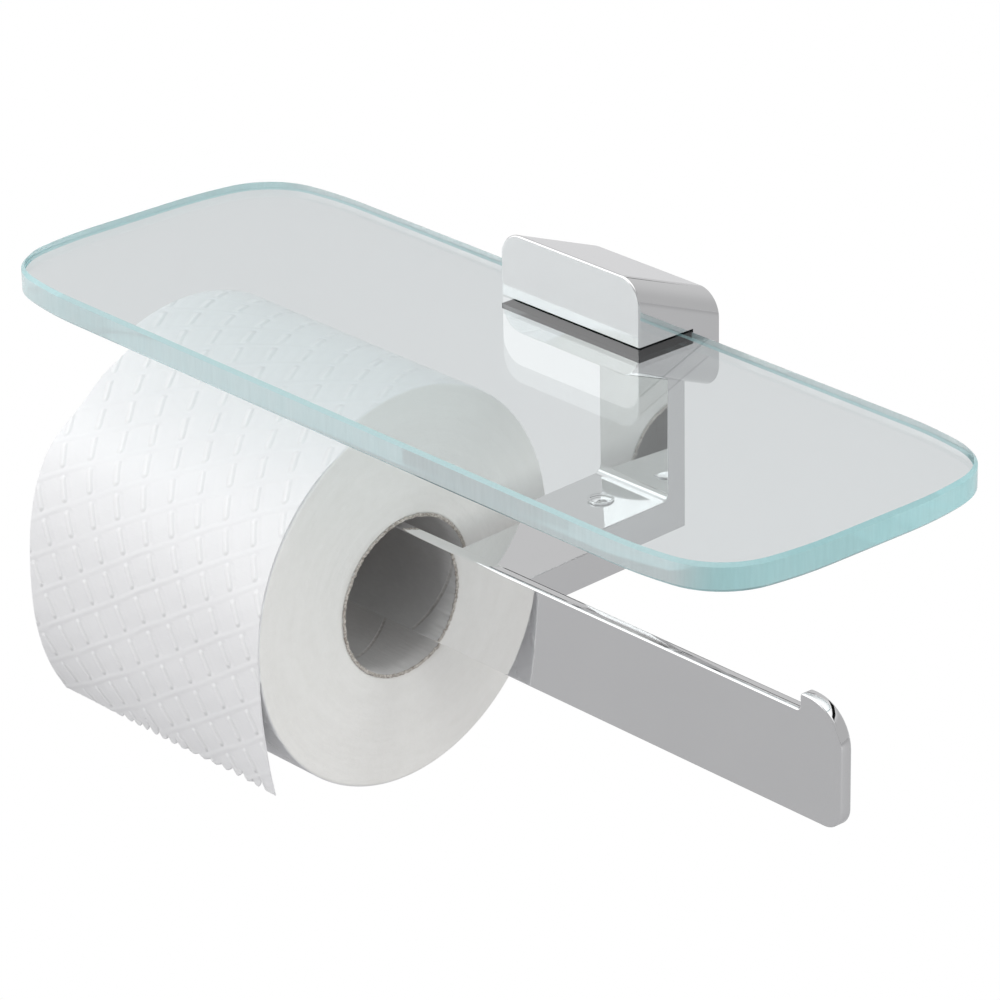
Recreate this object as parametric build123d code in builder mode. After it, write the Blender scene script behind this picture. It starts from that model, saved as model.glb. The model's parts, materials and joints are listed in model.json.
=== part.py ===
# Wall-mounted toilet paper holder with a glass shelf.
#
# A chrome block screws to the wall and grips a thick glass shelf in a slot. A flat leg runs down
# the wall from the block, turns forward as an arm, and carries a flat bar that lies along the
# wall. A paper roll hangs on the left half of the bar, and the right half is free for a spare.
#
# Frame: millimetres. The origin is on the wall, at the middle of the block's back. X runs along
# the wall to the right, Y points into the wall, so the front faces -Y, and Z is up.

from build123d import *
from math import cos, radians, sin, tan
import os

os.makedirs("parts", exist_ok=True)

# ---------------------------------------------------------------- driving dimensions
# glass shelf
shelf_width = 300.0
shelf_depth = 108.0
glass_thick = 8.0
glass_under = 1.0  # height of the glass's underside
glass_back_gap = 10.3  # from the wall to the glass's back edge
corner_reach = 40.0  # how far each rounded corner reaches along both edges
corner_tight = 22.0  # radius at the middle of a corner
corner_turn = 10.5  # degrees that the outline has turned before the tight part
arris = 1.0  # ground bevel round both faces

# block
block_width = 55.6
block_height = 34.5
block_depth = 30.0
block_rise = 11.4  # the front face stands this much higher than the back
block_corner = 7.5
block_edge = 0.5

# slot and what holds the glass in it
slot_end_gap = 0.5  # between the end of the slot and the glass
slot_top_gap = 0.3
liner_thick = 1.5
shoe_length, shoe_width, shoe_thick = 44.0, 8.0, 1.5
shoe_back = 20.0  # from the wall to the middle of the shoe
shoe_room = 0.3  # gap round the shoe in its groove
clamp_spread = 36.0
clamp_radius = 2.5
clamp_sunk = 0.9  # the screws end this far inside the block's underside
grub_tip = 0.4  # chamfer at the screws' tips
hex_share = 0.55  # socket's corner radius as a share of the screw's radius
hex_depth = 2.0

# wall plate inside the block
plate_width, plate_height, plate_thick = 46.0, 14.5, 2.0
plate_flange = 5.0
plate_low = -1.5
plate_hole_radius = 2.5
plate_hole_spread = 28.0
pocket_depth = 6.5
pocket_margin = 0.5
lock_spread = 40.0
lock_radius = 2.0
lock_length = 9.0
lock_back = 4.0  # from the wall to the lock screws' line

# leg and arm, one bent flat bar
leg_width = 28.2
leg_thick = 6.2
tab_top = -3.5  # top of the leg's tab inside the block
arm_top_at_wall = -52.5
arm_thick = 10.1
arm_slope = 2.1  # degrees that the arm falls towards the bar
inner_corner = 2.5
leg_edge = 0.4
leg_screw_spread = 16.0
leg_screw_height = -8.0
leg_screw_radius = 2.0
leg_screw_head = 3.7
leg_screw_length = 13.0
leg_hex_radius, leg_hex_depth = 1.4, 1.6

# roll bar
bar_thick = 4.0
bar_front = 63.0  # from the wall to the bar's front face
bar_top = -54.2
bar_height = 30.6
bar_right = 138.0
bar_left = 150.2
lip_height = 5.0
lip_length = 15.2
lip_outer_corner = 12.5
bar_low_corner = 6.0
lip_root = 1.2
bar_edge = 0.6

# tang of the bar inside the arm, and its screw
tang_width, tang_thick = 16.0, 5.0
tang_top = -56.6
tang_reach = 12.5  # from the wall to the tang's end
tang_gap = 0.2
tang_corner = 0.8
dome_back = 19.0  # from the wall to the dome-headed screw
dome_radius = 3.85
dome_rise = 1.1
dome_shank = 2.0
dome_hole_gap = 0.1

# pad behind the leg
pad_radius, pad_thick, pad_height = 5.0, 1.5, -57.0

# paper roll
roll_right = -35.5
roll_length = 98.0
core_inner = 22.1
core_wall = 1.0
core_gap = 0.1
paper_radius = 54.0
roll_hang = 0.4  # running gap between the bar's top and the top of the core
tail_thick = 0.5
tail_drop = 20.0  # straight stretch of the loose sheet
tail_tip_in = 4.0
tail_tip_drop = 44.5

# ---------------------------------------------------------------- worked-out values
glass_top = glass_under + glass_thick
glass_middle = -glass_back_gap - shelf_depth / 2
slot_floor = glass_under - liner_thick
slot_roof = glass_top + slot_top_gap
slot_end = -glass_back_gap + slot_end_gap
bar_back = bar_front - bar_thick
roll_y = -(bar_front - bar_thick / 2)
roll_z = bar_top + roll_hang - core_inner
arm_fall = tan(radians(arm_slope))  # drop of the arm per millimetre away from the wall


def block_underside(back):
    """Height of the block's sheared underside at a distance from the wall."""
    return -block_height / 2 + block_rise * back / block_depth


def arm_top(back):
    """Height of the arm's sloping top at a distance from the wall."""
    return arm_top_at_wall - back * arm_fall


# ---------------------------------------------------------------- glass shelf
# Each corner is three arcs that meet smoothly: wide, tight, wide. The wide arcs start along
# the straight edges, so the outline has no sudden change from straight to round.
half_w, half_d = shelf_width / 2, shelf_depth / 2
wide_turn = radians(corner_turn)
wide_radius = (corner_reach - corner_tight * (cos(wide_turn) - sin(wide_turn))) / (
    1 - cos(wide_turn) + sin(wide_turn)
)


def corner_points():
    """Ends of the corner's arcs and a point on each, from the side edge to the front edge."""
    cx, cy = half_w - wide_radius, half_d - corner_reach
    tight_x = cx + (wide_radius - corner_tight) * cos(wide_turn)
    tight_y = cy + (wide_radius - corner_tight) * sin(wide_turn)
    side = [
        (cx + wide_radius * cos(a), cy + wide_radius * sin(a))
        for a in (0, wide_turn / 2, wide_turn)
    ]
    middle = (tight_x + corner_tight * cos(radians(45)), tight_y + corner_tight * sin(radians(45)))
    mirrored = [(half_w - half_d + y, half_d - half_w + x) for x, y in reversed(side)]
    return side, middle, mirrored


side_arc, corner_middle, edge_arc = corner_points()

with BuildPart() as shelf_glass:
    with BuildSketch(Plane((0, glass_middle, glass_under))):
        with BuildLine():
            Line((half_w, 0), side_arc[0])
            ThreePointArc(*side_arc)
            ThreePointArc(side_arc[2], corner_middle, edge_arc[0])
            ThreePointArc(*edge_arc)
            Line(edge_arc[2], (0, half_d))
            mirror(about=Plane.YZ)
            mirror(about=Plane.XZ)
        make_face()
    extrude(amount=glass_thick)
    rims = shelf_glass.edges().filter_by(
        lambda e: abs(e.center().Z - glass_under) < 0.01 or abs(e.center().Z - glass_top) < 0.01
    )
    chamfer(rims, length=arris)

# ---------------------------------------------------------------- block
with BuildPart() as shelf_block:
    # rounded outline against the wall and the same outline, higher, at the front
    with BuildSketch(Plane.XZ):
        RectangleRounded(block_width, block_height, block_corner)
    with BuildSketch(Plane.XZ.offset(block_depth)):
        with Locations((0, block_rise)):
            RectangleRounded(block_width, block_height, block_corner)
    loft(ruled=True)
    front_rim = shelf_block.faces().sort_by(Axis.Y)[0].edges()
    fillet(front_rim, radius=block_edge)
    # slot for the glass, open at the front and at both sides
    with BuildSketch(Plane.YZ.offset(-block_width)):
        with BuildLine():
            Polyline(
                (slot_end, slot_floor),
                (slot_end, slot_roof),
                (-2 * block_depth, slot_roof),
                (-2 * block_depth, slot_floor),
                close=True,
            )
        make_face()
    extrude(amount=2 * block_width, mode=Mode.SUBTRACT)
    # groove for the clamp shoe and bores for its screws
    with BuildSketch(Plane.XY.offset(slot_floor)):
        with Locations((0, -shoe_back)):
            Rectangle(shoe_length + 2 * shoe_room, shoe_width + 2 * shoe_room)
    extrude(amount=-shoe_thick, mode=Mode.SUBTRACT)
    with BuildSketch(Plane.XY.offset(slot_floor)):
        with Locations((0, -shoe_back)):
            with GridLocations(clamp_spread, 1, 2, 1):
                Circle(clamp_radius)
    extrude(amount=-block_height, mode=Mode.SUBTRACT)
    # pocket for the wall plate, recess for the leg's tab
    pocket_low = plate_low - pocket_margin
    pocket_high = plate_low + plate_height
    with BuildSketch(Plane.XZ):
        with Locations((0, (pocket_low + pocket_high) / 2)):
            Rectangle(plate_width + 2 * pocket_margin, pocket_high - pocket_low)
    extrude(amount=pocket_depth, mode=Mode.SUBTRACT)
    with BuildSketch(Plane.XZ):
        with Locations((0, tab_top - block_height / 2)):
            Rectangle(leg_width, block_height)
    extrude(amount=leg_thick, mode=Mode.SUBTRACT)
    # bores for the lock screws and the leg screws
    with BuildSketch(Plane.XY.offset(plate_low)):
        with Locations((0, -lock_back)):
            with GridLocations(lock_spread, 1, 2, 1):
                Circle(lock_radius)
    extrude(amount=-block_height, mode=Mode.SUBTRACT)
    with BuildSketch(Plane.XZ):
        with Locations((0, leg_screw_height)):
            with GridLocations(leg_screw_spread, 1, 2, 1):
                Circle(leg_screw_radius)
    extrude(amount=leg_screw_length, mode=Mode.SUBTRACT)

# ---------------------------------------------------------------- slot liner and clamp shoe
with BuildPart() as slot_liner:
    # a rubber strip bent up behind the glass
    with BuildSketch(Plane.YZ.offset(-block_width / 2)):
        with BuildLine():
            Polyline(
                (-block_depth, slot_floor),
                (slot_end, slot_floor),
                (slot_end, glass_top),
                (slot_end - slot_end_gap, glass_top),
                (slot_end - slot_end_gap, glass_under),
                (-block_depth, glass_under),
                close=True,
            )
        make_face()
    extrude(amount=block_width)

with BuildPart() as clamp_shoe:
    with BuildSketch(Plane.XY.offset(slot_floor)):
        with Locations((0, -shoe_back)):
            RectangleRounded(shoe_length, shoe_width, shoe_thick)
    extrude(amount=-shoe_thick)

# ---------------------------------------------------------------- grub screws in the block
def grub_screw(x, back, top, bottom, radius):
    """One socket set screw that stands upright: a rod with a hexagon socket in its lower end."""
    with BuildPart(mode=Mode.PRIVATE) as screw:
        with BuildSketch(Plane.XY.offset(bottom)):
            with Locations((x, -back)):
                Circle(radius)
        extrude(amount=top - bottom)
        with BuildSketch(Plane.XY.offset(bottom)):
            with Locations((x, -back)):
                RegularPolygon(radius * hex_share, 6)
        extrude(amount=hex_depth, mode=Mode.SUBTRACT)
        tip = screw.faces().sort_by(Axis.Z)[-1].edges()
        chamfer(tip, length=grub_tip)
    return screw.part


clamp_top = slot_floor - shoe_thick
clamp_bottom = block_underside(shoe_back + clamp_radius) + clamp_sunk
clamp_pair = [
    grub_screw(x, shoe_back, clamp_top, clamp_bottom, clamp_radius)
    for x in (-clamp_spread / 2, clamp_spread / 2)
]
lock_pair = [
    grub_screw(x, lock_back, plate_low, plate_low - lock_length, lock_radius)
    for x in (-lock_spread / 2, lock_spread / 2)
]
with BuildPart() as clamp_screws:
    add(clamp_pair)
with BuildPart() as plate_lock_screws:
    add(lock_pair)

# ---------------------------------------------------------------- wall plate
with BuildPart() as wall_plate:
    # a steel tray: flat against the wall, with a flange along the top and the bottom
    with BuildSketch(Plane.YZ.offset(-plate_width / 2)):
        with BuildLine():
            Polyline(
                (0, plate_low),
                (0, plate_low + plate_height),
                (-plate_flange, plate_low + plate_height),
                (-plate_flange, plate_low + plate_height - plate_thick),
                (-plate_thick, plate_low + plate_height - plate_thick),
                (-plate_thick, plate_low + plate_thick),
                (-plate_flange, plate_low + plate_thick),
                (-plate_flange, plate_low),
                close=True,
            )
        make_face()
    extrude(amount=plate_width)
    with BuildSketch(Plane.XZ):
        with Locations((0, plate_low + plate_height / 2)):
            with GridLocations(plate_hole_spread, 1, 2, 1):
                Circle(plate_hole_radius)
    extrude(amount=plate_thick, mode=Mode.SUBTRACT)

# ---------------------------------------------------------------- leg and arm
arm_bottom_at_wall = arm_top_at_wall - arm_thick
tang_length = bar_back - tang_reach
with BuildPart() as support_leg:
    with BuildSketch(Plane.YZ.offset(-leg_width / 2)):
        with BuildLine():
            Polyline(
                (0, tab_top),
                (-leg_thick, tab_top),
                (-leg_thick, arm_top(leg_thick)),
                (-bar_back, arm_top(bar_back)),
                (-bar_back, arm_top(bar_back) - arm_thick),
                (0, arm_bottom_at_wall),
                close=True,
            )
        make_face()
    extrude(amount=leg_width)
    bend = support_leg.edges().filter_by(Axis.X).filter_by(
        lambda e: abs(e.center().Y + leg_thick) < 0.01 and abs(e.center().Z - arm_top(leg_thick)) < 0.01
    )
    fillet(bend, radius=inner_corner)
    # small rounding along the edges that a hand can reach
    long_edges = support_leg.edges().filter_by(
        lambda e: e.length > 30 and abs(abs(e.center().X) - leg_width / 2) < 0.01 and e.center().Y < -0.01
    )
    fillet(long_edges, radius=leg_edge)
    # socket for the bar's tang, open towards the bar
    with BuildSketch(Plane.XZ.offset(bar_back)):
        with Locations((0, tang_top - tang_thick / 2)):
            Rectangle(tang_width + 2 * tang_gap, tang_thick + 2 * tang_gap)
    extrude(amount=-tang_length - tang_gap, mode=Mode.SUBTRACT)
    # hole for the dome-headed screw, from the arm's top into the socket
    with BuildSketch(Plane.XY.offset(tang_top)):
        with Locations((0, -dome_back)):
            Circle(dome_shank + dome_hole_gap)
    extrude(amount=arm_thick, mode=Mode.SUBTRACT)
    # countersunk holes through the tab, from behind
    with Locations(Plane.XZ.rotated((180, 0, 0))):
        with Locations((0, -leg_screw_height)):
            with GridLocations(leg_screw_spread, 1, 2, 1):
                CounterSinkHole(leg_screw_radius, leg_screw_head, depth=leg_thick)
    # shallow recess for the pad
    with BuildSketch(Plane.XZ):
        with Locations((0, pad_height)):
            Circle(pad_radius)
    extrude(amount=pad_thick, mode=Mode.SUBTRACT)


def leg_screw(x):
    """One countersunk screw lying along Y, its head flush with the back of the leg."""
    cone = leg_screw_head - leg_screw_radius
    middle = (x, 0, leg_screw_height)
    with BuildPart(mode=Mode.PRIVATE) as screw:
        with BuildSketch(Plane(middle)):
            with BuildLine():
                Polyline(
                    (0, 0),
                    (leg_screw_head, 0),
                    (leg_screw_radius, -cone),
                    (leg_screw_radius, -leg_screw_length),
                    (0, -leg_screw_length),
                    close=True,
                )
            make_face()
        revolve(axis=Axis(middle, (0, 1, 0)))
        with BuildSketch(Plane(middle, x_dir=(1, 0, 0), z_dir=(0, -1, 0))):
            RegularPolygon(leg_hex_radius, 6)
        extrude(amount=leg_hex_depth, mode=Mode.SUBTRACT)
    return screw.part


leg_screw_pair = [leg_screw(x) for x in (-leg_screw_spread / 2, leg_screw_spread / 2)]
with BuildPart() as leg_screws:
    add(leg_screw_pair)

with BuildPart() as wall_pad:
    with BuildSketch(Plane.XZ):
        with Locations((0, pad_height)):
            Circle(pad_radius)
    extrude(amount=pad_thick)

# ---------------------------------------------------------------- roll bar, tang and screw
bar_bottom = bar_top - bar_height
lip_top = bar_top + lip_height
with BuildPart() as roll_bar:
    with BuildSketch(Plane.XZ.offset(bar_back)) as bar_face:
        with BuildLine():
            Polyline(
                (-bar_left, bar_bottom),
                (bar_right, bar_bottom),
                (bar_right, lip_top),
                (bar_right - lip_length, lip_top),
                (bar_right - lip_length, bar_top),
                (-bar_left + lip_length, bar_top),
                (-bar_left + lip_length, lip_top),
                (-bar_left, lip_top),
                close=True,
            )
        make_face()
        low_corners = bar_face.vertices().filter_by(lambda v: v.Y < bar_top - 1)
        fillet(low_corners, radius=bar_low_corner)
        high_corners = bar_face.vertices().filter_by(
            lambda v: v.Y > lip_top - 0.1 and (v.X > bar_right - 0.1 or v.X < -bar_left + 0.1)
        )
        fillet(high_corners, radius=lip_outer_corner)
        roots = bar_face.vertices().filter_by(lambda v: abs(v.Y - bar_top) < 0.01 and abs(v.X) > 20)
        fillet(roots, radius=lip_root)
        crests = bar_face.vertices().filter_by(
            lambda v: abs(v.Y - lip_top) < 0.01 and v.X in (bar_right - lip_length, -bar_left + lip_length)
        )
        fillet(crests, radius=lip_root)
    extrude(amount=bar_thick)
    rims = roll_bar.edges().filter_by(
        lambda e: abs(e.center().Y + bar_back) < 0.01 or abs(e.center().Y + bar_front) < 0.01
    )
    fillet(rims, radius=bar_edge)

with BuildPart() as bar_tang:
    with BuildSketch(Plane.XZ.offset(bar_back)):
        with Locations((0, tang_top - tang_thick / 2)):
            RectangleRounded(tang_width, tang_thick, tang_corner)
    extrude(amount=-tang_length)
    with BuildSketch(Plane.XY.offset(tang_top)):
        with Locations((0, -dome_back)):
            Circle(dome_shank)
    extrude(amount=-tang_thick, mode=Mode.SUBTRACT)

# The head is a shallow dome that rests on the higher side of the sloping arm.
dome_sphere = (dome_radius**2 + dome_rise**2) / (2 * dome_rise)
head_height = arm_top(dome_back - dome_radius)
screw_end = tang_top - tang_thick
with BuildPart() as arm_screw:
    with BuildSketch(Plane((0, -dome_back, 0), x_dir=(1, 0, 0), z_dir=(0, -1, 0))):
        with BuildLine():
            Polyline(
                (0, head_height + dome_rise),
                (0, screw_end),
                (dome_shank, screw_end),
                (dome_shank, head_height),
                (dome_radius, head_height),
            )
            RadiusArc((dome_radius, head_height), (0, head_height + dome_rise), -dome_sphere)
        make_face()
    revolve(axis=Axis((0, -dome_back, 0), (0, 0, 1)))

# ---------------------------------------------------------------- paper roll
roll_plane = Plane(origin=(roll_right, roll_y, roll_z), x_dir=(0, 1, 0), z_dir=(-1, 0, 0))
core_outer = core_inner + core_wall

with BuildPart() as core_tube:
    with BuildSketch(roll_plane):
        Circle(core_outer)
        Circle(core_inner, mode=Mode.SUBTRACT)
    extrude(amount=roll_length)

with BuildPart() as paper_roll:
    with BuildSketch(roll_plane):
        Circle(paper_radius)
        Circle(core_outer + core_gap, mode=Mode.SUBTRACT)
    extrude(amount=roll_length)

# The loose end leaves the roll at its front, drops straight and then curls back a little.
tail_y = roll_y - paper_radius - tail_thick / 2
with BuildPart() as paper_tail:
    with BuildSketch(Plane.YZ.offset(roll_right - roll_length)):
        with BuildLine() as tail_line:
            drop = Line((tail_y, roll_z), (tail_y, roll_z - tail_drop))
            TangentArc(
                drop @ 1, (tail_y + tail_tip_in, roll_z - tail_tip_drop), tangent=drop % 1
            )
        trace(line_width=tail_thick)
    extrude(amount=roll_length)

# ---------------------------------------------------------------- write one file per piece
pieces = {
    "shelf_glass": shelf_glass,
    "shelf_block": shelf_block,
    "slot_liner": slot_liner,
    "clamp_shoe": clamp_shoe,
    "clamp_screws": clamp_screws,
    "wall_plate": wall_plate,
    "plate_lock_screws": plate_lock_screws,
    "support_leg": support_leg,
    "leg_screws": leg_screws,
    "wall_pad": wall_pad,
    "roll_bar": roll_bar,
    "bar_tang": bar_tang,
    "arm_screw": arm_screw,
    "core_tube": core_tube,
    "paper_roll": paper_roll,
    "paper_tail": paper_tail,
}
for name, piece in pieces.items():
    piece.part.label = name
    export_step(piece.part, f"parts/{name}.step")
print("roll axis at y", round(roll_y, 3), "z", round(roll_z, 3))
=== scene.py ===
# %% [markdown]
# # A toilet paper holder with a glass shelf
#
# The holder is a chrome bracket on a wall: a block that grips a thick glass shelf, a flat leg that
# turns forward as an arm, and a flat bar with a paper roll on its left half. The machined pieces
# already exist as a solid model. This lesson gives them real finishes, and makes the paper, which
# no solid model can show well, as surfaces worked out from formulas.

# %% Load the solid model
import json
import math
import bmesh
import bpy
import numpy as np
from mathutils import Matrix, Vector


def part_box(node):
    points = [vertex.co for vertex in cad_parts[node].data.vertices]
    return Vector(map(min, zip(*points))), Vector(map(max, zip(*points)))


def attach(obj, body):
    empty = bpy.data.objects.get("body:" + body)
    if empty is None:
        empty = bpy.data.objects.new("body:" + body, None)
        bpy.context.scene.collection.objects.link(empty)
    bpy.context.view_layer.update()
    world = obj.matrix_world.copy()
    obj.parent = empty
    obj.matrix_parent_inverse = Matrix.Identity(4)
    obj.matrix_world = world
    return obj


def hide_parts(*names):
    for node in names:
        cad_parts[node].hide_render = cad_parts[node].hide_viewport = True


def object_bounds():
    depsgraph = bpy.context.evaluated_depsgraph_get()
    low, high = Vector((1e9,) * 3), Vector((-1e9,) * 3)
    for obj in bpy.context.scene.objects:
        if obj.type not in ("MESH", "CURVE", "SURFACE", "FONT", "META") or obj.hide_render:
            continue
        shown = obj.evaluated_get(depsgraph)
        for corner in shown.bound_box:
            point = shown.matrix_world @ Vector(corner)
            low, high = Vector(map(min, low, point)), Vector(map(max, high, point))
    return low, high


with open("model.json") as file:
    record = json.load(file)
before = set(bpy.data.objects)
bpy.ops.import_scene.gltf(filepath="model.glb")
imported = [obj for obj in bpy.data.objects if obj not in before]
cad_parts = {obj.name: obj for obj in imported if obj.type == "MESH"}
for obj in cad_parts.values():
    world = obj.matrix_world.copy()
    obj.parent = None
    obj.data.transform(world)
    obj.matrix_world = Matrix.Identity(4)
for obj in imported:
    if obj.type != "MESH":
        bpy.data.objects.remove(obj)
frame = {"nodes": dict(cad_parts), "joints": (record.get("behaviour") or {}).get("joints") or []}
cad_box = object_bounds()
MM = 0.001
print("solid model, metres:", [round(v, 4) for corner in cad_box for v in corner])

# %% [markdown]
# ## The camera
#
# A product view is taken from far away with a long lens, so that parallel edges stay nearly
# parallel. The camera is described the way a photographer would: the point it aims at, how far
# off it stands, how far round and how high, and a small roll about its own axis. Three unit
# vectors, backwards, right and up, are then the columns of its rotation.

# %% Aim the camera
aim_point = np.array([15.8, -70.6, -26.8]) * MM
distance, lens_mm = 1.3951, 186.05
azimuth, elevation, roll = (math.radians(d) for d in (48.532, 24.116, -1.048))

backwards = np.array(
    [
        math.sin(azimuth) * math.cos(elevation),
        -math.cos(azimuth) * math.cos(elevation),
        math.sin(elevation),
    ]
)
level = np.array([math.cos(azimuth), math.sin(azimuth), 0.0])
upright = np.cross(backwards, level)
right = math.cos(roll) * level + math.sin(roll) * upright
up = math.cos(roll) * upright - math.sin(roll) * level

camera = bpy.data.objects.new("camera", bpy.data.cameras.new("camera"))
bpy.context.scene.collection.objects.link(camera)
pose = np.eye(4)
pose[:3, 0], pose[:3, 1], pose[:3, 2] = right, up, backwards
pose[:3, 3] = aim_point + backwards * distance
camera.matrix_world = Matrix(pose)
camera.data.lens, camera.data.sensor_width = lens_mm, 36.0
camera.data.clip_start, camera.data.clip_end = 0.05, 50.0
bpy.context.scene.camera = camera
bpy.context.scene.view_settings.view_transform = "Standard"
print("camera stands at", np.round(pose[:3, 3], 3))

# %% [markdown]
# ## Shader maths as plain expressions
#
# A procedural finish is a formula. Wiring one by hand takes dozens of nodes, so a small class
# wraps a node's output and adds the matching Math node whenever Python meets an operator. The
# formula in the script then reads like the formula on paper, and `1 - mask` works too.


# %% A wrapped value and the tree it lives in
class Value:
    """An output socket with arithmetic: every operator adds one Math node and wraps its result."""

    def __init__(self, tree, socket):
        self.tree, self.socket = tree, socket

    def __add__(self, other):
        return self.tree.maths("ADD", self, other)

    def __sub__(self, other):
        return self.tree.maths("SUBTRACT", self, other)

    def __rsub__(self, other):
        return self.tree.maths("SUBTRACT", other, self)

    def __mul__(self, other):
        return self.tree.maths("MULTIPLY", self, other)

    def __truediv__(self, other):
        return self.tree.maths("DIVIDE", self, other)

    def __abs__(self):
        return self.tree.maths("ABSOLUTE", self)

    __radd__, __rmul__ = __add__, __mul__

    def floor(self):
        return self.tree.maths("FLOOR", self)

    def part(self):
        """What is left after the whole number below is taken away."""
        return self.tree.maths("FRACT", self)

    def least(self, other):
        return self.tree.maths("MINIMUM", self, other)

    def most(self, other):
        return self.tree.maths("MAXIMUM", self, other)

    def root(self):
        return self.tree.maths("SQRT", self)

    def step(self, start, end):
        """0 before start, 1 after end, and a smooth rise between them."""
        return self.tree.node(
            "ShaderNodeMapRange",
            {"interpolation_type": "SMOOTHSTEP"},
            {"Value": self, "From Min": start, "From Max": end},
        )


class Tree:
    """A node tree that makes nodes and links in one call each."""

    def __init__(self, nodes_of):
        nodes_of.use_nodes = True
        self.nodes, self.links = nodes_of.node_tree.nodes, nodes_of.node_tree.links
        self.nodes.clear()

    def feed(self, socket, value):
        if isinstance(value, Value):
            self.links.new(value.socket, socket)
        else:
            socket.default_value = value

    def node(self, kind, settings=None, values=None, out=0):
        """Adds a node, sets its own settings first, then fills or links its sockets."""
        made = self.nodes.new(kind)
        for name, value in (settings or {}).items():
            setattr(made, name, value)
        for key, value in (values or {}).items():
            self.feed(made.inputs[key], value)
        return Value(self, made.outputs[out] if len(made.outputs) else None)

    def maths(self, operation, *terms):
        return self.node("ShaderNodeMath", {"operation": operation}, dict(enumerate(terms)))

    def blend(self, share, first, second):
        """A colour between two colours."""
        return self.node(
            "ShaderNodeMix", {"data_type": "RGBA"}, {0: share, 6: first, 7: second}, out=2
        )

    def noise(self, place, size, detail=3.0, rough=0.55):
        """Cloudy noise, 0 to 1, whose patches are about `size` metres across."""
        return self.node(
            "ShaderNodeTexNoise",
            None,
            {"Vector": place, "Scale": 1 / size, "Detail": detail, "Roughness": rough},
        )

    def stretch(self, place, scale):
        """The place multiplied by a scale along each axis, for streaks and rings."""
        return self.node("ShaderNodeVectorMath", {"operation": "MULTIPLY"}, {0: place, 1: scale})

    def axes(self, place):
        split = self.node("ShaderNodeSeparateXYZ", None, {0: place}).socket.node
        return [Value(self, s) for s in split.outputs]

    def join(self, x, y, z):
        return self.node("ShaderNodeCombineXYZ", None, {0: x, 1: y, 2: z})


class Finish(Tree):
    """A material: one Principled shader, the piece's own coordinates, and a bump in metres."""

    def __init__(self, name, **constants):
        self.material = bpy.data.materials.new(name)
        super().__init__(self.material)
        self.shader = self.nodes.new("ShaderNodeBsdfPrincipled")
        self.output = self.nodes.new("ShaderNodeOutputMaterial")
        self.links.new(self.shader.outputs[0], self.output.inputs["Surface"])
        self.place = self.node("ShaderNodeTexCoord", out=3)
        for key, value in constants.items():
            self.set(key.replace("_", " "), value)

    def set(self, key, value):
        self.feed(self.shader.inputs[key], value)

    def bump(self, height):
        """height is in metres, so a ridge of 0.2 mm is 0.0002."""
        self.set("Normal", self.node("ShaderNodeBump", None, {"Height": height, "Distance": 1.0}))


# %% [markdown]
# ## The stage
#
# Polished metal and clear glass look like whatever stands round them. A photographer puts them in
# a pale tent: grey low down and brighter overhead. One side of it glows where a lamp stands behind
# the cloth, and a lit paper sweep rises behind the object. Here the surround is a smooth
# gradient by direction. The pale floor below has that sweep's light painted into its colour: a
# painted pool of light, darker in front and paler toward the back left. Seen directly, both are
# clean white, as in a catalogue, and in reflections and through the glass they are the soft greys
# of the tent.

# %% Surround and floor
scene = bpy.context.scene
scene.world = bpy.data.worlds.new("tent")
tent = Tree(scene.world)
look_x, look_y, look_z = tent.axes(tent.node("ShaderNodeTexCoord", out=0))
toward_sweep = (look_y - look_x) * 0.707
low_grey = tent.blend(toward_sweep.step(0.2, 0.9), (0.50, 0.50, 0.505, 1), (0.62, 0.62, 0.625, 1))
tent_grey = tent.blend(look_z.step(0.55, 0.92), low_grey, (1.40, 1.40, 1.405, 1))
toward_glow = look_z * 0.39 - look_x * 0.68 - look_y * 0.62
tent_grey = tent.blend(toward_glow.step(0.78, 0.95), tent_grey, (1.75, 1.75, 1.75, 1))
seen_directly = tent.node("ShaderNodeLightPath", out=0)
tent_light = tent.node(
    "ShaderNodeBackground", None, {0: tent.blend(seen_directly, tent_grey, (1, 1, 1, 1)), 1: 1.0}
)
tent.node("ShaderNodeOutputWorld", None, {0: tent_light})

floor_height = cad_box[0].z - 0.22
floor_mesh = bpy.data.meshes.new("floor")
floor_mesh.from_pydata(
    [(-4, -4, floor_height), (4, -4, floor_height), (4, 4, floor_height), (-4, 4, floor_height)],
    [],
    [(0, 1, 2, 3)],
)
floor = bpy.data.objects.new("floor", floor_mesh)
scene.collection.objects.link(floor)
paint = Tree(bpy.data.materials.new("floor_paint"))
floor_mesh.materials.append(bpy.data.materials["floor_paint"])
floor_x, floor_y, _ = paint.axes(paint.node("ShaderNodeTexCoord", out=3))
# painted light: the floor's colour is darker in front and paler toward the back left, a painted pool of
# light from the lit sweep
behind = (floor_y - floor_x) * 0.707
floor_painted_light = paint.blend(behind.step(0.05, 0.65), (0.405, 0.405, 0.41, 1), (0.62, 0.62, 0.625, 1))
floor_painted_light = paint.blend(behind.step(1.2, 2.2), floor_painted_light, (0.68, 0.68, 0.685, 1))
matt = paint.node("ShaderNodeBsdfDiffuse", None, {0: floor_painted_light})
clean = paint.node("ShaderNodeEmission", None, {0: (1, 1, 1, 1), 1: 1.0})
direct = paint.node("ShaderNodeLightPath", out=0)
two_faces = paint.node("ShaderNodeMixShader", None, {0: direct, 1: matt, 2: clean})
paint.node("ShaderNodeOutputMaterial", None, {0: two_faces})
print("floor lies", round(cad_box[0].z - floor_height, 3), "m below the holder")

# %% [markdown]
# Two soft lamps model the shapes: one far to the left, which rakes over the paper, and
# one to the right for the end of the roll. Metal also needs something dark to reflect, or its
# edges vanish against white. So narrow black cloths, which photographers call flags, hang where
# only the rounded edges see them.


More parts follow.
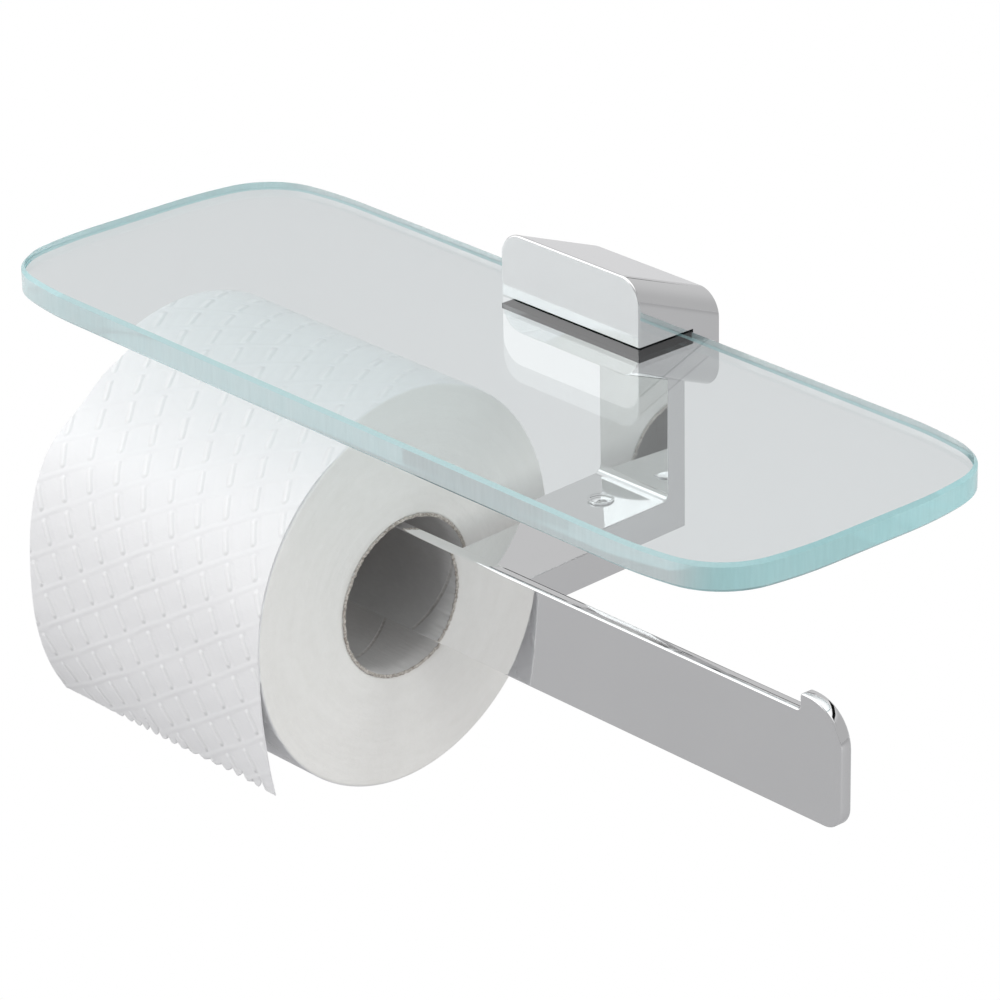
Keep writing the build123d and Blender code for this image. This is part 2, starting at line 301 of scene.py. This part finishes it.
# %% Lamps and flags
def lamp(name, place, target, size, watts):
    """A square soft light that faces a target and that no mirror or glass shows."""
    light = bpy.data.lights.new(name, "AREA")
    light.shape, light.size, light.energy = "SQUARE", size, watts
    holder = bpy.data.objects.new(name, light)
    scene.collection.objects.link(holder)
    away = np.array(place) - np.array(target)
    holder.location = place
    holder.rotation_mode = "QUATERNION"
    holder.rotation_quaternion = Vector(away).to_track_quat("Z", "Y")
    holder.visible_glossy = holder.visible_transmission = False
    return holder


def flag(name, direction, away, wide, tall):
    """A black card that only reflections see, at a distance in a direction from the holder."""
    d = Vector(direction).normalized()
    across = d.cross(Vector((0, 0, 1))).normalized() * (wide / 2)
    upwards = across.cross(d).normalized() * (tall / 2)
    middle = d * away + Vector((0, -0.06, -0.05))
    mesh = bpy.data.meshes.new(name)
    low, high = middle - upwards, middle + upwards
    corners = [low - across, low + across, high + across, high - across]
    mesh.from_pydata(corners, [], [(0, 1, 2, 3)])
    card = bpy.data.objects.new(name, mesh)
    scene.collection.objects.link(card)
    mesh.materials.append(black_cloth.material)
    card.visible_camera = card.visible_diffuse = card.visible_shadow = card.visible_transmission = False
    return card


black_cloth = Finish(
    "black_cloth", Base_Color=(0.01, 0.01, 0.01, 1), Roughness=1.0, Specular_IOR_Level=0.0
)
lamp("key_light", (-1.7, -1.1, 0.7), (-0.05, -0.06, -0.05), 0.8, 8.8)
lamp("end_light", (1.7, -0.2, 0.6), (0.0, -0.06, -0.05), 0.8, 12.0)
flag("flag_right", (0.41, 0.60, 0.68), 1.0, 1.5, 0.12)
flag("flag_low", (-0.70, 0.66, 0.24), 1.2, 0.70, 0.11)
flag("flag_high", (-0.70, 0.50, 0.53), 1.2, 0.70, 0.035)

# %% [markdown]
# ## From numbers to a mesh
#
# Every new piece here is a grid of points, rows by columns, joined by four-sided faces. A grid may
# close on itself along its rows, its columns or both, as a tube or a ring does. Each face corner
# also gets two lengths in metres, along the piece and round it, so that a pattern can follow the
# paper. Corners rather than points carry them, so the closing seam keeps the full length.


# %% The grid builder
def skin(name, points, close_rows=False, close_columns=False, lengths=None):
    """Points of shape (rows, columns, 3) as a smooth mesh whose outside is row step x column step."""
    rows, columns, _ = points.shape
    r = np.arange(rows if close_rows else rows - 1)[:, None]
    c = np.arange(columns if close_columns else columns - 1)[None, :]
    r_next, c_next = (r + 1) % rows, (c + 1) % columns
    corners = np.stack(
        [r * columns + c, r_next * columns + c, r_next * columns + c_next, r * columns + c_next], -1
    ).reshape(-1)
    mesh = bpy.data.meshes.new(name)
    mesh.vertices.add(rows * columns)
    mesh.vertices.foreach_set("co", points.reshape(-1).astype(np.float32))
    mesh.loops.add(len(corners))
    mesh.loops.foreach_set("vertex_index", corners.astype(np.int32))
    mesh.polygons.add(len(corners) // 4)
    mesh.polygons.foreach_set("loop_start", np.arange(0, len(corners), 4, dtype=np.int32))
    mesh.update(calc_edges=True)
    mesh.shade_smooth()
    if lengths is not None:
        along, round_it = lengths
        pair = np.stack(
            [
                np.stack([a[r, c], a[r + 1, c], a[r + 1, c + 1], a[r, c + 1]], -1)
                for a in (along, round_it)
            ],
            -1,
        )
        mesh.uv_layers.new(name="paper_lengths").data.foreach_set("uv", pair.reshape(-1))
    piece = bpy.data.objects.new(name, mesh)
    scene.collection.objects.link(piece)
    print(name, rows, "by", columns, "points")
    return piece


def join_doubles(piece, gap=1e-6):
    """Closes poles and seams by joining points that lie on each other."""
    work = bmesh.new()
    work.from_mesh(piece.data)
    bmesh.ops.remove_doubles(work, verts=work.verts, dist=gap)
    work.to_mesh(piece.data)
    work.free()


# %% [markdown]
# ## Machined pieces with true curves
#
# The block, leg, bar and glass come from the solid model as small flat triangles. On polished
# metal each triangle would show as a facet. A copy with its points joined can be shaded smoothly.
# The trick is in the normals: averaged by face area, a large flat face keeps its own direction
# right up to its edge, and the narrow roundings take all of the turn, as on a ground part.


# %% Copies for polishing
def polished_copy(node, name, turn=32):
    """A joined copy of a node, smooth where faces meet within `turn` degrees and crisp elsewhere."""
    mesh = frame["nodes"][node].data.copy()
    mesh.name = name
    mesh.materials.clear()
    piece = bpy.data.objects.new(name, mesh)
    scene.collection.objects.link(piece)
    if "custom_normal" in mesh.attributes:
        mesh.attributes.remove(mesh.attributes["custom_normal"])
    join_doubles(piece)
    mesh.shade_smooth()
    mesh.set_sharp_from_angle(angle=math.radians(turn))
    normals = piece.modifiers.new("flat faces stay flat", "WEIGHTED_NORMAL")
    normals.mode, normals.weight, normals.keep_sharp = "FACE_AREA", 100, True
    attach(piece, "bracket")
    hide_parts(node)
    print(name, len(mesh.vertices), "points")
    return piece


block = polished_copy("shelf_block", "block")
leg = polished_copy("support_leg", "leg_and_arm")
bar = polished_copy("roll_bar", "flat_bar")
glass = polished_copy("shelf_glass", "glass_plate")

# %% [markdown]
# The glass is pressed onto the rubber liner, and two surfaces in one plane can't both be drawn.
# Its underside goes down by two hundredths of a millimetre, so that light passes from glass to
# rubber with no air between them.

# %% Press the glass onto its liner
low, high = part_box("shelf_glass")
spots = np.empty(len(glass.data.vertices) * 3, np.float32)
glass.data.vertices.foreach_get("co", spots)
spots = spots.reshape(-1, 3)
underside = spots[:, 2] < low[2] + 0.01 * MM
spots[underside, 2] -= 0.02 * MM
glass.data.vertices.foreach_set("co", spots.reshape(-1))
glass.data.update()
print("glass thickness, mm:", round((high[2] - low[2]) / MM, 3), "points pressed:", int(underside.sum()))

# %% [markdown]
# ## The dome-headed screw
#
# A turned part is one profile carried round an axis. The head is a shallow dome with a flat ring
# pressed round its rim, which is what catches the light.


# %% Turn the screw
def turned(name, profile, centre, steps=96):
    """Profile points (radius, height) in metres, from the top down, carried round the Z axis."""
    angle = np.linspace(0, 2 * np.pi, steps, endpoint=False)[None, :]
    radius, height = profile[:, 0][:, None], profile[:, 1][:, None]
    points = np.stack(
        [
            centre[0] + radius * np.cos(angle),
            centre[1] + radius * np.sin(angle),
            centre[2] + height + 0 * angle,
        ],
        -1,
    )
    piece = skin(name, points, close_columns=True)
    join_doubles(piece)
    return piece


screw_low, screw_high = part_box("arm_screw")
reach = np.linspace(0, 1, 15)
dome = np.stack([3.0 * reach, 1.0 - 0.55 * reach**2], -1)
rim = np.array([[3.12, 0.40], [3.25, 0.42], [3.45, 0.44], [3.7, 0.36], [3.82, 0.22], [3.85, 0.0]])
shank = np.array([[3.8, -0.1], [2.0, -0.1], [2.0, -8.4], [0.0, -8.4]])
seat = 1.1 * MM
screw_profile = np.concatenate([dome, rim, shank]) * MM
screw_profile[:, 1] += screw_high[2] - seat
screw = turned(
    "dome_screw",
    screw_profile,
    ((screw_low[0] + screw_high[0]) / 2, (screw_low[1] + screw_high[1]) / 2, 0.0),
)
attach(screw, "bracket")
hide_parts("arm_screw")

# %% [markdown]
# ## The paper roll
#
# A paper roll is never quite round: it is soft, and lies in a pack with others. Its outline is an
# ellipse that stands a few degrees off upright, and its hole is an ellipse that leans another way.
# In any direction from the axis, the distance to an ellipse has a closed formula, so the whole
# roll is one function of two numbers: the angle round the axis and the place along its section.

# %% Ellipses round the roll's axis
axis_y, axis_z = frame["joints"][0]["pos_m"][1:] if frame["joints"] else (-0.061, -0.0759)
roll_low, roll_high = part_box("paper_roll")
roll_left, roll_right = roll_low[0] / MM, roll_high[0] / MM


def ellipse(angle, first, second, lean):
    """Distance from the axis in mm, for half-axes first and second and a lean in degrees.

    With the angle counted from the lean, it is first*second / length of (second*cos, first*sin).
    """
    turn = angle - math.radians(lean)
    return first * second / np.hypot(second * np.cos(turn), first * np.sin(turn))


def outer_edge(angle):
    return ellipse(angle, 53.4, 57.2, -20)


def core_inside(angle):
    return ellipse(angle, 21.9, 23.6, -36)


def place_round(x, radius, angle):
    """Points in metres at a distance along the wall, a radius and an angle, all in mm and radians."""
    return np.stack(
        [
            x * MM + 0 * angle,
            axis_y + radius * MM * np.cos(angle),
            axis_z + radius * MM * np.sin(angle),
        ],
        -1,
    )


print("roll outline, mm:", round(outer_edge(0.0), 1), "to", round(outer_edge(math.pi / 2), 1))

# %% [markdown]
# The section runs along the outside, round a soft corner, down one end, through the hole and up
# the other end. The ends get fine ripples: the paper is slit, not cut in a lathe, so some layers
# stand a few hundredths of a millimetre proud of their neighbours.

# %% Wind the roll
chance = np.random.default_rng(7)
core_wall = 1.0
corner = 0.7
bend = np.linspace(0, math.pi / 2, 6)[1:-1]
outside_x = np.linspace(roll_right - corner, roll_left + corner, 60)
end_share = np.linspace(1 - corner / 32, 0, 64)
share = np.concatenate([np.ones(60), np.ones(4), end_share, np.zeros(4), end_share[::-1], np.ones(4)])
inset = np.concatenate(
    [np.zeros(60), corner * (1 - np.cos(bend)), np.zeros(64 + 4 + 64), corner * (1 - np.cos(bend[::-1]))]
)
section_x = np.concatenate(
    [
        outside_x,
        roll_left + corner * (1 - np.sin(bend)),
        np.full(64, roll_left),
        np.linspace(roll_left + 1, roll_right - 1, 4),
        np.full(64, roll_right),
        roll_right - corner * (1 - np.sin(bend[::-1])),
    ]
)
side = np.concatenate([np.zeros(64), -np.ones(64), np.zeros(4), np.ones(64), np.zeros(4)])
first_angle = -math.pi / 2
angle = first_angle + np.linspace(0, 2 * np.pi, 480, endpoint=False)[None, :]
s, q = share[:, None], inset[:, None]
radius = (core_inside(angle) + core_wall + 0.05) * (1 - s) + outer_edge(angle) * s - q
ripples = sum(
    size * np.sin(count * s * 2 * np.pi + phase + turns * angle)
    for size, count, phase, turns in zip(
        (0.016, 0.012, 0.010, 0.05), (9, 17, 29, 2), chance.uniform(0, 6, 4), (0, 1, 2, 3)
    )
)
dip = -0.35 * np.exp(-(((1 - s) - 1.0) ** 2) / 0.02)
wobble = 0.12 * np.sin(3 * angle + 0.8) * np.sin(section_x[:, None] / 23.0) * (s > 0.99)
x = section_x[:, None] + side[:, None] * (ripples + dip)
wound_paper = place_round(x, radius + wobble, angle)
along = np.repeat(section_x[:, None], angle.size + 1, 1)
full_angle = first_angle + np.linspace(0, 2 * np.pi, angle.size + 1)[None, :]
round_it = np.repeat(full_angle * 55.3, len(section_x), 0)
close_row = lambda a: np.concatenate([a, a[:1]])  # noqa: E731  the closing row repeats the first
wound = skin("wound_paper", wound_paper, True, True, (close_row(along) * MM, close_row(round_it) * MM))
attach(wound, "roll")
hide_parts("paper_roll")

# %% [markdown]
# ## The cardboard core
#
# The core is a wall of one millimetre that follows the hole's ellipse. Its ends are torn rather
# than cut clean, so the two rims wander in and out by a few tenths of a millimetre, with a finer
# fray on top. The same noise drives both, at two scales, and repeats after one turn so it closes.


# %% Roll the core
def frayed(angle, seed, coarse, fine):
    """A periodic ragged line: a sum of sines with whole numbers of waves per turn."""
    chance = np.random.default_rng(seed)
    low_waves, high_waves = np.arange(3, 15), np.arange(25, 110, 3)
    phase = chance.uniform(0, 2 * np.pi, len(low_waves) + len(high_waves))
    size = np.concatenate(
        [coarse * chance.normal(0, 0.4, len(low_waves)), fine * chance.normal(0, 0.4, len(high_waves))]
    )
    waves = np.concatenate([low_waves, high_waves])
    return (size[:, None] * np.sin(waves[:, None] * angle + phase[:, None])).sum(0)[None, :]


core_angle = first_angle + np.linspace(0, 2 * np.pi, 540, endpoint=False)[None, :]
depth = np.concatenate([np.ones(14), [0.85, 0.6, 0.35, 0.12], np.zeros(14), [0.12, 0.35, 0.6, 0.85]])
run = np.concatenate(
    [np.linspace(1, -1, 14), np.full(4, -1.0), np.linspace(-1, 1, 14), np.full(4, 1.0)]
)
rim_bulge = np.concatenate([np.zeros(14), [0.1, 0.2, 0.15, 0.05], np.zeros(14), [0.05, 0.15, 0.2, 0.1]])
half_long = (roll_right - roll_left) / 2
fray_right, fray_left = frayed(core_angle[0], 3, 0.07, 0.05), frayed(core_angle[0], 4, 0.07, 0.05)
near_end = (np.abs(run) > 0.99)[:, None]
core_x = (roll_right + roll_left) / 2 + run[:, None] * (half_long - 0.1) + 0 * core_angle
core_x = core_x + near_end * np.sign(run)[:, None] * (
    rim_bulge[:, None] + np.where(run[:, None] > 0, fray_right, fray_left)
)
core_radius = core_inside(core_angle) + core_wall * depth[:, None]
core_radius = core_radius + near_end * 0.10 * frayed(core_angle[0], 5, 0.2, 0.35)
core_points = place_round(core_x, core_radius, core_angle)
core_along = np.repeat(run[:, None] * half_long, core_angle.size + 1, 1)
core_round = np.repeat(np.linspace(0, 1, core_angle.size + 1)[None, :], len(run), 0)
core_lengths = (close_row(core_along) * MM, close_row(core_round))
core = skin("cardboard_core", core_points, True, True, core_lengths)
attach(core, "roll")
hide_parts("core_tube")

# %% [markdown]
# ## The loose end
#
# The last sheet hugs the roll over the top, leaves it at the front and hangs. Its right edge stays
# close to the roll, its left edge stands off and curls in lower down, and it was torn off along a
# perforation, so the lower edge is a row of small hooked teeth. Two smooth lines through a few
# points describe its side edges, and every line between them is a mix of the two.


# %% A smooth line through points
def through(points, t):
    """Catmull-Rom line: points of shape (knots, columns, 2) and t of shape (rows, columns), 0 to 1.

    Between two knots the line is the cubic that passes through both, with the slope at each knot
    taken from its two neighbours."""
    knots = len(points)
    spot = np.clip(t, 0, 1) * (knots - 1)
    k = np.minimum(spot.astype(int), knots - 2)
    f = (spot - k)[..., None]
    column = np.arange(points.shape[1])[None, :]
    at = lambda i: points[np.clip(i, 0, knots - 1), column]  # noqa: E731
    p0, p1, p2, p3 = at(k - 1), at(k), at(k + 1), at(k + 2)
    return 0.5 * (
        2 * p1
        + (p2 - p0) * f
        + (2 * p0 - 5 * p1 + 4 * p2 - p3) * f**2
        + (3 * p1 - p0 - 3 * p2 + p3) * f**3
    )


def on_roll(degrees, lift):
    """A point of the roll's outline, lifted off it by some tenths of a millimetre."""
    a = math.radians(degrees)
    r = outer_edge(a) + lift
    return (r * math.cos(a), r * math.sin(a))


right_edge = np.array(
    [on_roll(112, -0.5), on_roll(122, 0.1), on_roll(133, 0.3), on_roll(144, 0.35), on_roll(155, 0.4)]
    + [on_roll(167, 0.4), (-54.0, 0.4), (-54.0, -10.0), (-53.6, -20.0), (-52.6, -29.0), (-51.5, -37.0)]
    + [(-49.8, -45.5)]
)
left_edge = np.array(
    [on_roll(112, -0.5), on_roll(122, 0.1), on_roll(133, 0.4), (-48.6, 31.0), (-54.3, 21.5)]
    + [(-57.4, 10.5), (-58.6, -0.5), (-58.8, -10.5), (-58.2, -20.5), (-56.3, -30.0), (-53.2, -38.5)]
    + [(-48.6, -46.8)]
)
column_x = np.linspace(roll_right - 0.1, roll_left + 0.1, 350)
toward_left = ((column_x[0] - column_x) / (column_x[0] - column_x[-1]))[None, :]
lines = (
    right_edge[:, None, :] * (1 - toward_left[..., None] ** 1.3)
    + left_edge[:, None, :] * toward_left[..., None] ** 1.3
)

# %% [markdown]
# The tear is worked out before the sheet is laid out. Each tooth rises slowly and drops fast, its
# depth is drawn from a seeded table, and the left third tore cleanly. Points near the tear also
# move sideways a little, which leans the teeth over into hooks.

# %% Tear and hang the sheet
pitch = 4.5
teeth = (column_x[0] - column_x) / pitch + 0.25 * np.sin((column_x[0] - column_x) / 9.0)
which = np.floor(teeth).astype(int)
depths = chance.uniform(1.3, 3.6, 40)[which]
within = teeth - which
tooth = np.where(within < 0.66, within / 0.66, (1 - within) / 0.34) ** 1.7
toothed = 1 / (1 + np.exp((toward_left[0] - 0.72) * 30))
cut = depths * tooth * toothed * (which > 0) + 0.3 * np.sin(column_x * 1.9) * np.sin(column_x * 0.7)
sheet_length = 93.0
rows_at = np.concatenate([np.linspace(0, 0.93, 60, endpoint=False), np.linspace(0.93, 1, 16)])[:, None]
reach_down = rows_at * (1 - cut[None, :] / sheet_length)
curve = through(lines, reach_down)
hook = -0.55 * np.clip(rows_at - 0.965, 0, 1) / 0.035 * (tooth * toothed)[None, :]
flutter = 0.25 * np.sin(column_x / 11.0)[None, :] * np.clip(rows_at - 0.6, 0, 1) / 0.4
hang_points = np.stack(
    [
        (column_x[None, :] - hook * 2.6) * MM + 0 * rows_at,
        axis_y + (curve[..., 0] + flutter) * MM,
        axis_z + curve[..., 1] * MM,
    ],
    -1,
)
steps_down = np.linalg.norm(np.diff(hang_points, axis=0), axis=-1)
down = np.concatenate([np.zeros((1, len(column_x))), np.cumsum(steps_down, 0)])
sheet_round = down + math.radians(112) * 55.3 * MM
sheet_along = np.repeat(column_x[None, :] * MM, len(down), 0)
# rows run down and columns run left, so the order is reversed to face the outside outwards
hanging = skin(
    "loose_sheet", hang_points[:, ::-1], lengths=(sheet_along[:, ::-1], sheet_round[:, ::-1])
)
two_ply = hanging.modifiers.new("two plies", "SOLIDIFY")
two_ply.thickness, two_ply.offset = 0.25 * MM, 0.0
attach(hanging, "roll")
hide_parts("paper_tail")

# %% [markdown]
# ## Chrome
#
# Chrome plate is a mirror that returns about two thirds of the light, a touch blue. What makes it
# real is what isn't perfect: a faint haze that differs from place to place, and a plated surface
# that is flat only to a few thousandths of a millimetre, so reflected lines waver slightly.

#
# The bar's narrow edges are given a slight crown, so that reflections on them are not perfectly
# flat. The bar's finish carries that crown as a bump, higher along its middle plane.


# %% Chrome plate
def chrome_plate(name, crown=0.0, middle_y=0.0):
    """Mirror chrome. A crown of c tips the normal by 2*c*distance from the plane y = middle_y."""
    made = Finish(name, Metallic=1.0)
    haze = made.noise(made.place, 0.030, 4)
    specks = made.noise(made.place, 0.0012, 2)
    made.set("Base Color", made.blend(haze, (0.81, 0.81, 0.814, 1), (0.85, 0.85, 0.852, 1)))
    made.set("Roughness", 0.018 + haze * 0.025 + specks.step(0.70, 0.85) * 0.03)
    height = made.noise(made.place, 0.018, 1) * 0.000012 + specks * 0.0000002
    if crown:
        from_middle = made.axes(made.place)[1] - middle_y
        height = height - from_middle * from_middle * crown
    made.bump(height)
    return made


chrome = chrome_plate("chrome_plate")
bar_low, bar_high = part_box("roll_bar")
bar_chrome = chrome_plate("chrome_bar", crown=46.0, middle_y=(bar_low[1] + bar_high[1]) / 2)

# %% [markdown]
# ## Clear glass with a green edge
#
# Float glass absorbs a little red. Through eight millimetres nobody notices, but light that runs
# inside the plate to its edge passes ten times as much, and comes out blue-green. So the body
# absorbs. The edge itself is ground and then polished: it scatters part of that coloured light,
# and only the rest passes straight. Two shaders are mixed there, by how far a face looks from up.
# The ground part is a pale teal surface whose right end is painted greener, painted light for the
# light that runs the plate's length. Lamps have to shine through the plate too, so for shadows
# alone it counts as a clear film.

# %% Glass
clear = Finish("clear_glass", Base_Color=(1, 1, 1, 1), Transmission_Weight=1.0, IOR=1.5)
facing = clear.axes(clear.node("ShaderNodeNewGeometry", out=1))
edge_band = 1 - abs(facing[2]).step(0.80, 0.97)
grind = clear.noise(clear.stretch(clear.place, (1.0, 1.0, 0.12)), 0.0009, 3)
smears = clear.noise(clear.stretch(clear.place, (1.0, 1.0, 0.3)), 0.007, 3)
clear.set("Roughness", edge_band * (0.02 + grind * 0.05))
clear.bump(edge_band * grind * 0.000004)
# painted light: the right end and the corners are painted greenest, to stand in for the light that runs
# along the whole plate to them; a weak random smear is mixed in
painted_end_green_and_smears = facing[0].step(0.10, 0.75) * 0.8 + smears * 0.2
arris = abs(facing[2]).step(0.30, 0.60)
edge_colour_painted_green = clear.blend(painted_end_green_and_smears, (0.86, 0.93, 0.94, 1), (0.50, 0.86, 0.88, 1))
edge_colour_painted_green = clear.blend(arris * 0.7, edge_colour_painted_green, (0.42, 0.70, 0.72, 1))
ground_edge = clear.node(
    "ShaderNodeBsdfPrincipled", None, {"Base Color": edge_colour_painted_green, "Roughness": 0.18, "IOR": 1.5}
)
surface = clear.node(
    "ShaderNodeMixShader",
    None,
    {0: edge_band * (0.62 + grind * 0.10), 1: Value(clear, clear.shader.outputs[0]), 2: ground_edge},
)
film = clear.node("ShaderNodeBsdfTransparent", None, {0: (0.93, 0.95, 0.95, 1)})
for_shadows = clear.node("ShaderNodeLightPath", out=1)
surface = clear.node("ShaderNodeMixShader", None, {0: for_shadows, 1: surface, 2: film})
clear.feed(clear.output.inputs["Surface"], surface)
body = clear.node(
    "ShaderNodeVolumeAbsorption", None, {"Color": (0.10, 0.73, 0.78, 1), "Density": 5.5}
)
clear.feed(clear.output.inputs["Volume"], body)
bpy.context.scene.cycles.max_bounces = 24
bpy.context.scene.cycles.transmission_bounces = 24

# %% [markdown]
# ## Rubber, plated steel and stainless steel
#
# The liner and the pad are moulded black rubber: dark, with a fine grain and a faint bloom. The
# plate and the tang are zinc plated, which leaves soft cloudy patches. The hidden screws are plain
# stainless, turned on a lathe, so fine lines run round them.

# %% The small fittings' finishes
rubber = Finish("black_rubber", Specular_IOR_Level=0.1)
bloom = rubber.noise(rubber.place, 0.006, 4)
grain = rubber.noise(rubber.place, 0.0006, 2)
rubber.set("Base Color", rubber.blend(bloom, (0.008, 0.008, 0.009, 1), (0.022, 0.022, 0.023, 1)))
rubber.set("Roughness", 0.33 + bloom * 0.25)
rubber.bump(grain * 0.00002)

zinc = Finish("zinc_plate", Metallic=1.0)
clouds = zinc.noise(zinc.place, 0.007, 4, 0.65)
zinc.set("Base Color", zinc.blend(clouds, (0.42, 0.43, 0.45, 1), (0.66, 0.67, 0.68, 1)))
zinc.set("Roughness", 0.26 + clouds * 0.22)
zinc.bump(zinc.noise(zinc.place, 0.0008, 3) * 0.000012)

stainless = Finish("stainless_steel", Metallic=1.0)
lathe = stainless.noise(stainless.stretch(stainless.place, (0.2, 0.2, 6.0)), 0.0011, 3)
stainless.set("Base Color", stainless.blend(lathe, (0.46, 0.46, 0.47, 1), (0.60, 0.60, 0.60, 1)))
stainless.set("Roughness", 0.24 + lathe * 0.18)
stainless.bump(lathe * 0.000006)

# %% [markdown]
# ## Embossed tissue
#
# The emboss repeats on a nearly square grid of 10 mm cells that is turned by about thirty degrees.
# One family of grid lines carries short raised bars, and the other is a raised seam. Solving two
# equations turns the paper's lengths into grid numbers, and whole numbers are grid lines. On top
# lies the paper's crepe, fine wrinkles along the roll.

# %% Tissue
SEAM_STEP = np.array([8.75, -5.5])  # mm along the roll and down the sheet, to the next bar line
BAR_STEP = np.array([4.75, 8.75])  # to the next bar on the same line
HALF_BAR = 2.7


def embossed(finish):
    """Height of the emboss in mm and where its bars are, from the paper's lengths."""
    lengths = finish.node("ShaderNodeUVMap", {"uv_map": "paper_lengths"})
    wander = finish.noise(lengths, 0.020, 2) - 0.5
    u, v, _ = finish.axes(lengths)
    u, v = u * 1000 + wander * 1.0, v * 1000 + wander * 1.0
    area = SEAM_STEP[0] * BAR_STEP[1] - SEAM_STEP[1] * BAR_STEP[0]
    line = u * (BAR_STEP[1] / area) - v * (BAR_STEP[0] / area)
    place_on_line = v * (SEAM_STEP[0] / area) - u * (SEAM_STEP[1] / area)
    across = (line.part() - 0.5) * np.hypot(*SEAM_STEP)
    down = (place_on_line.part() - 0.5) * np.hypot(*BAR_STEP)
    past_end = (abs(down) - HALF_BAR).most(0.0)
    from_bar = (across * across + past_end * past_end).root()
    bars = 1 - from_bar.step(0.0, 1.5)
    beside = across - 1.7
    hollow = 1 - (beside * beside + past_end * past_end).root().step(0.2, 1.6)
    from_seam = np.hypot(*BAR_STEP) / 2 - abs(down)
    seams = 1 - from_seam.step(0.0, 1.2)
    pillow = (1 - abs(abs(across) - 2.6) / 2.6) * (1 - abs(down) / 5.05)
    height = bars * 0.36 - hollow * 0.10 + seams * (0.08 + wander * 0.20) + pillow * 0.12
    return lengths, height, bars


tissue = Finish("embossed_tissue", Specular_IOR_Level=0.2, Sheen_Weight=0.15, Sheen_Roughness=0.6)
lengths, height, bars = embossed(tissue)
cloudy = tissue.noise(lengths, 0.012, 4)
crepe = tissue.noise(tissue.stretch(lengths, (0.35, 1.6, 1.0)), 0.0011, 4, 0.6)
fuzz = tissue.noise(tissue.place, 0.0004, 2)
# painted highlight: the raised emboss bars are painted paler, for the light their ridges catch; the
# cloudy half is the paper's own uneven tone
tone_and_painted_ridge_light = (cloudy * 0.5 + bars * 0.5).least(1.0)
tissue.set("Base Color", tissue.blend(tone_and_painted_ridge_light, (0.81, 0.81, 0.82, 1), (0.89, 0.89, 0.893, 1)))
tissue.set("Roughness", 0.82 + cloudy * 0.15)
tissue.bump((height + crepe * 0.035 + fuzz * 0.012 + cloudy * 0.10) * 0.001)
print("emboss bars are", 2 * HALF_BAR, "mm long")

# %% [markdown]
# ## The roll's ends
#
# The ends show hundreds of layers edge on, thinner than the eye can part. What is seen instead is
# a warm, mottled felt with short streaks that follow the winding. Stretching noise works for
# this: fast along the radius and slow in every other direction, so there is no seam anywhere.

# %% Wound ends
ends = Finish("wound_ends", Specular_IOR_Level=0.15)
_, py, pz = ends.axes(ends.place)
from_y, from_z = py - axis_y, pz - axis_z
out = (from_y * from_y + from_z * from_z).root()
drift = ends.noise(ends.place, 0.011, 3)
winding = ends.join(out + drift * 0.0035, py * 0.16, pz * 0.16)
layers = ends.noise(winding, 0.0009, 5, 0.7)
coarse_layers = ends.noise(winding, 0.0032, 3)
mottle = ends.noise(ends.place, 0.0028, 5, 0.7)
warm = ends.blend(coarse_layers * 0.5 + mottle * 0.5, (0.78, 0.77, 0.74, 1), (0.90, 0.893, 0.872, 1))
near_core = 1 - out.step(0.0226, 0.0255)
ends.set("Base Color", ends.blend(near_core * 0.35, warm, (0.60, 0.575, 0.54, 1)))
ends.set("Roughness", 0.88 + mottle * 0.1)
ends.bump((layers * 0.10 + coarse_layers * 0.10 + mottle * 0.14) * 0.001)

# %% [markdown]
# ## Cardboard
#
# The core is grey board wound in a spiral from two strips, so a joint runs round it like a screw
# thread. The torn rims show loose brown fibres.

# %% Core board
board = Finish("core_board", Specular_IOR_Level=0.2)
core_lengths = board.node("ShaderNodeUVMap", {"uv_map": "paper_lengths"})
cu, cv, _ = board.axes(core_lengths)
joint = 1 - abs((cu / 0.062 + cv).part() - 0.5).step(0.004, 0.012)
fibres = board.noise(board.stretch(board.place, (0.5, 1.5, 1.5)), 0.0016, 5, 0.7)
blotches = board.noise(board.place, 0.009, 3)
grey = board.blend(fibres * 0.6 + blotches * 0.4, (0.54, 0.53, 0.52, 1), (0.72, 0.71, 0.70, 1))
rims = (abs(cu) * 1000).step(48.75, 48.95)
brown = board.blend(fibres.step(0.35, 0.65), (0.24, 0.20, 0.165, 1), (0.66, 0.62, 0.57, 1))
board.set("Base Color", board.blend((rims * 0.85).most(joint * 0.3), grey, brown))
board.set("Roughness", 0.80 + fibres * 0.15)
board.bump((fibres * 0.06 - joint * 0.10 + rims * fibres * 0.25) * 0.001)

# %% [markdown]
# ## Dress the pieces
#
# Pieces that keep their solid-model shape take a finish in place of their flat colour. The wound
# roll takes two: one on its outside and one on its ends, told apart by which way a face looks.


# %% Give every piece its finish
def dress(piece, *finishes):
    piece.data.materials.clear()
    for finish in finishes:
        piece.data.materials.append(finish.material)
    print(piece.name, "wears", ", ".join(f.material.name for f in finishes))


for piece, finish in ((block, chrome), (leg, chrome), (bar, bar_chrome), (screw, chrome)):
    dress(piece, finish)
dress(glass, clear)
for node in ("slot_liner", "wall_pad"):
    dress(frame["nodes"][node], rubber)
for node in ("wall_plate", "bar_tang"):
    dress(frame["nodes"][node], zinc)
for node in ("clamp_shoe", "clamp_screws", "plate_lock_screws", "leg_screws"):
    dress(frame["nodes"][node], stainless)
dress(core, board)
dress(hanging, tissue)
dress(wound, tissue, ends)
face_normals = np.empty(len(wound.data.polygons) * 3, np.float32)
wound.data.polygons.foreach_get("normal", face_normals)
looks_sideways = (np.abs(face_normals.reshape(-1, 3)[:, 0]) > 0.8).astype(np.int32)
wound.data.polygons.foreach_set("material_index", looks_sideways)
print(int(looks_sideways.sum()), "faces belong to the roll's ends")
